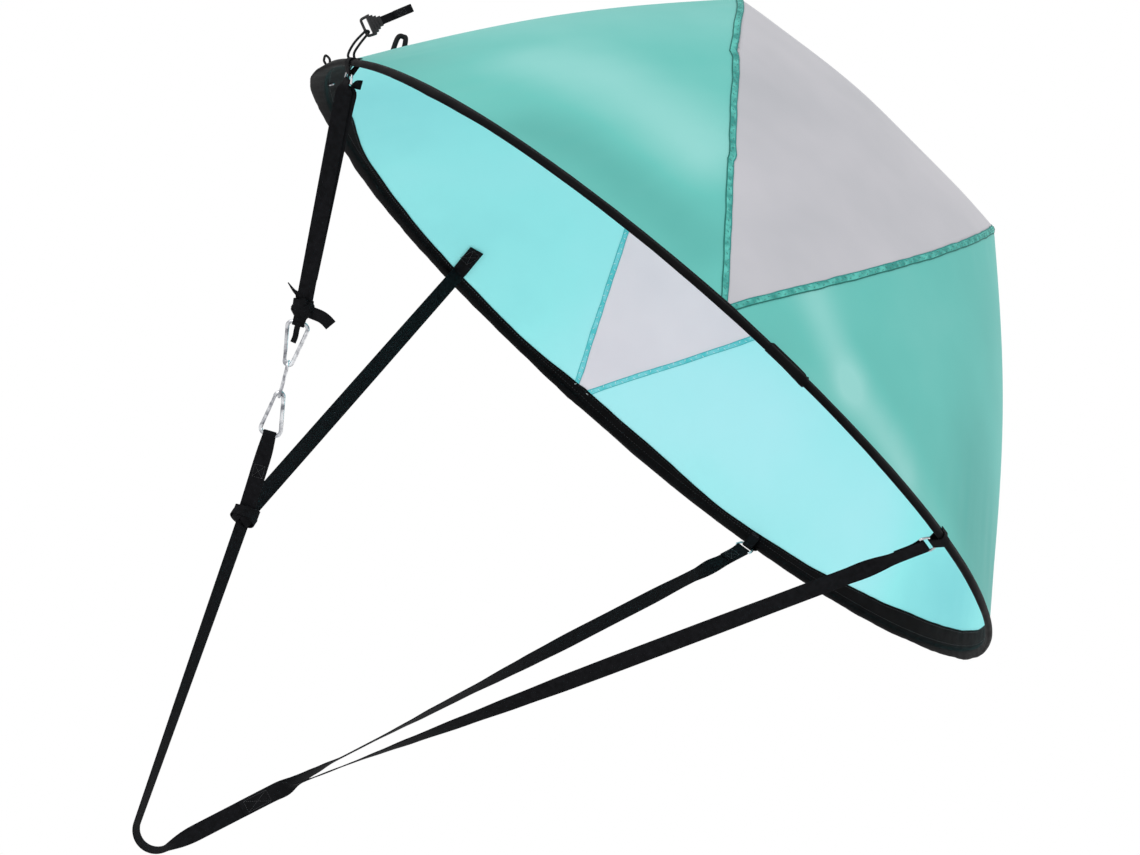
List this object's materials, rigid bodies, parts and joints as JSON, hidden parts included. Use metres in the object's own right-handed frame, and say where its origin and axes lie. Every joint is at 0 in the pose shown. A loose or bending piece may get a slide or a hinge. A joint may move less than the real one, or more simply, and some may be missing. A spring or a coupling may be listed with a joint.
{
  "type": "canoe sail",
  "caption": "Pop-up downwind sail for a canoe: spring hoop, teal bowl with clear window, webbing reins and snap hooks.",
  "frame": {"origin": "lowest point of the hand rein's bend, where the paddler holds the sail", "axes": "+Z from the hand rein to the bowl's back, square to the hoop's plane; +X from the paired left straps to the right reins; +Y towards the far rim"},
  "size_m": [1.085, 1.08, 1.2858],
  "materials": {
    "teal_cloth": "matt",
    "window_film": "satin",
    "seam_tape": "matt",
    "black_tape": "matt",
    "black_webbing": "matt",
    "black_cord": "matt",
    "moulded_plastic": "satin",
    "plated_steel": "polished",
    "spring_steel": "satin",
    "brass": "satin"
  },
  "bodies": {
    "sail": {"panel_left": "teal_cloth", "panel_right": "teal_cloth", "window": "window_film", "seam_left": "seam_tape", "seam_right": "seam_tape", "rim_sleeve": "black_tape", "sleeve_lap": "black_tape", "tab_near_left": "black_webbing", "tab_near_right": "black_webbing", "tab_far_right": "black_webbing", "strap_near_left": "black_webbing", "upper_bight": "black_webbing", "knot_upper": "black_webbing", "upper_tail": "black_webbing", "upper_corner": "black_webbing", "strap_chain": "black_webbing", "strap_far_left": "black_webbing", "knot_lower": "black_webbing", "hand_rein": "black_webbing", "rein_near": "black_webbing", "rein_far": "black_webbing", "deck_cord": "black_cord", "stow_loop": "black_cord", "hang_loop": "black_cord", "ring_near_left": "plated_steel", "ring_near_right": "plated_steel", "ring_far_right": "plated_steel", "sleeve_eyelet": "plated_steel", "hoop_rod": "spring_steel", "hoop_ferrule": "brass"},
    "hook_upper": {"snap_hook_upper": "plated_steel", "gate_pin_upper": "plated_steel"},
    "hook_upper_gate": {"gate_upper": "plated_steel"},
    "chain_link": {"link": "plated_steel"},
    "hook_lower": {"snap_hook_lower": "plated_steel", "gate_pin_lower": "plated_steel"},
    "hook_lower_gate": {"gate_lower": "plated_steel"},
    "buckle": {"deck_buckle": "moulded_plastic", "deck_pull": "black_webbing"}
  },
  "joints": [
    {"name": "chain_swing", "type": "hinge", "parent": "sail", "child": "hook_upper", "pos_m": [-0.27821, -0.03058, 0.58936], "axis": [0.8993, -0.127, 0.4184], "range_deg": [-8, 8]},
    {"name": "link_tilt", "type": "hinge", "parent": "hook_upper", "child": "chain_link", "pos_m": [-0.25444, -0.00837, 0.54501], "axis": [0.8993, -0.127, 0.4184], "range_deg": [-8, 8]},
    {"name": "lower_swing", "type": "hinge", "parent": "sail", "child": "hook_lower", "pos_m": [-0.21502, 0.02846, 0.47147], "axis": [0.8993, -0.127, 0.4184], "range_deg": [-8, 8]},
    {"name": "gate_upper_open", "type": "hinge", "parent": "hook_upper", "child": "hook_upper_gate", "pos_m": [-0.26356, -0.0113, 0.54991], "axis": [-0.0665, 0.906, 0.418], "range_deg": [0, 22], "stiffness_Nm_per_rad": 0.05, "springref_deg": -11.46},
    {"name": "gate_lower_open", "type": "hinge", "parent": "hook_lower", "child": "hook_lower_gate", "pos_m": [-0.24007, 0.01064, 0.50609], "axis": [0.0665, -0.906, -0.418], "range_deg": [0, 22], "stiffness_Nm_per_rad": 0.05, "springref_deg": -11.46},
    {"name": "buckle_turn", "type": "hinge", "parent": "sail", "child": "buckle", "pos_m": [-0.4527, -0.15, 0.8887], "axis": [-0.9112, -0.0331, 0.4106], "range_deg": [-20, 20]}
  ],
  "couplings": [
    {"joint": "link_tilt", "follows": "chain_swing", "ratio": -1},
    {"joint": "lower_swing", "follows": "chain_swing", "ratio": -1}
  ]
}
